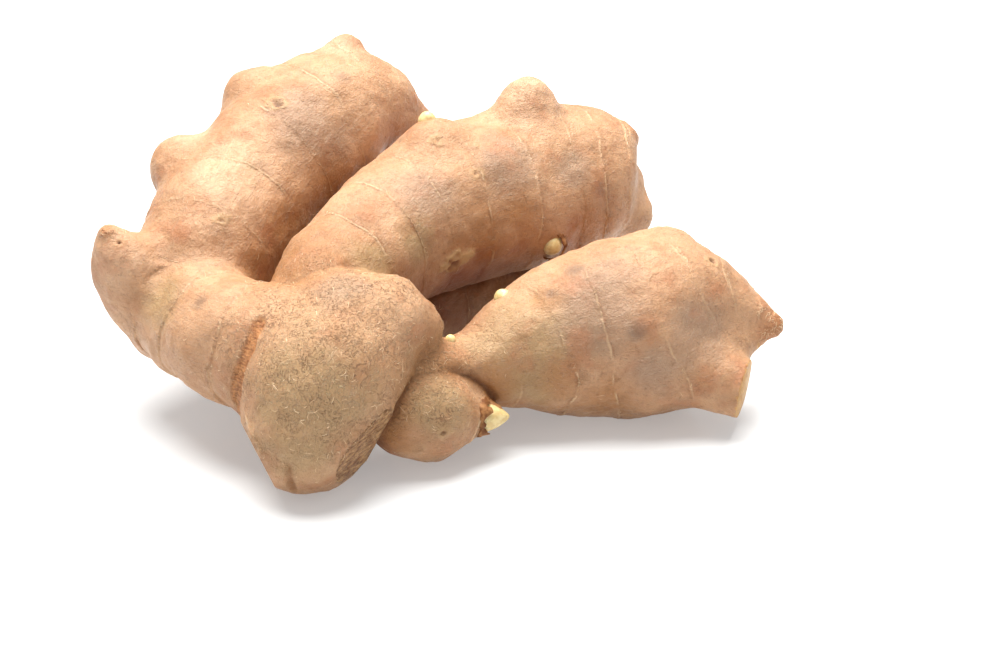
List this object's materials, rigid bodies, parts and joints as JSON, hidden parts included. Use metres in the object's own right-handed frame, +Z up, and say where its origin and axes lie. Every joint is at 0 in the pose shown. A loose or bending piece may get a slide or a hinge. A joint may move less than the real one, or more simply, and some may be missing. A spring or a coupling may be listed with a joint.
{
  "type": "ginger root",
  "caption": "Whole fresh ginger rhizome: a blunt knuckle with stout fingers, side knobs, buds and a cut stub, lying flat.",
  "frame": {"origin": "middle of the bounding box, in the plane the rhizome rests on", "axes": "+Z up from the table; +X to the right along the rhizome's longest extent, towards the pointed finger tip; the knuckle points to -Y"},
  "size_m": [0.1598, 0.1209, 0.0713],
  "materials": {
    "skin": "matte"
  },
  "bodies": {
    "root": {"ginger_rhizome": "skin"}
  },
  "joints": []
}
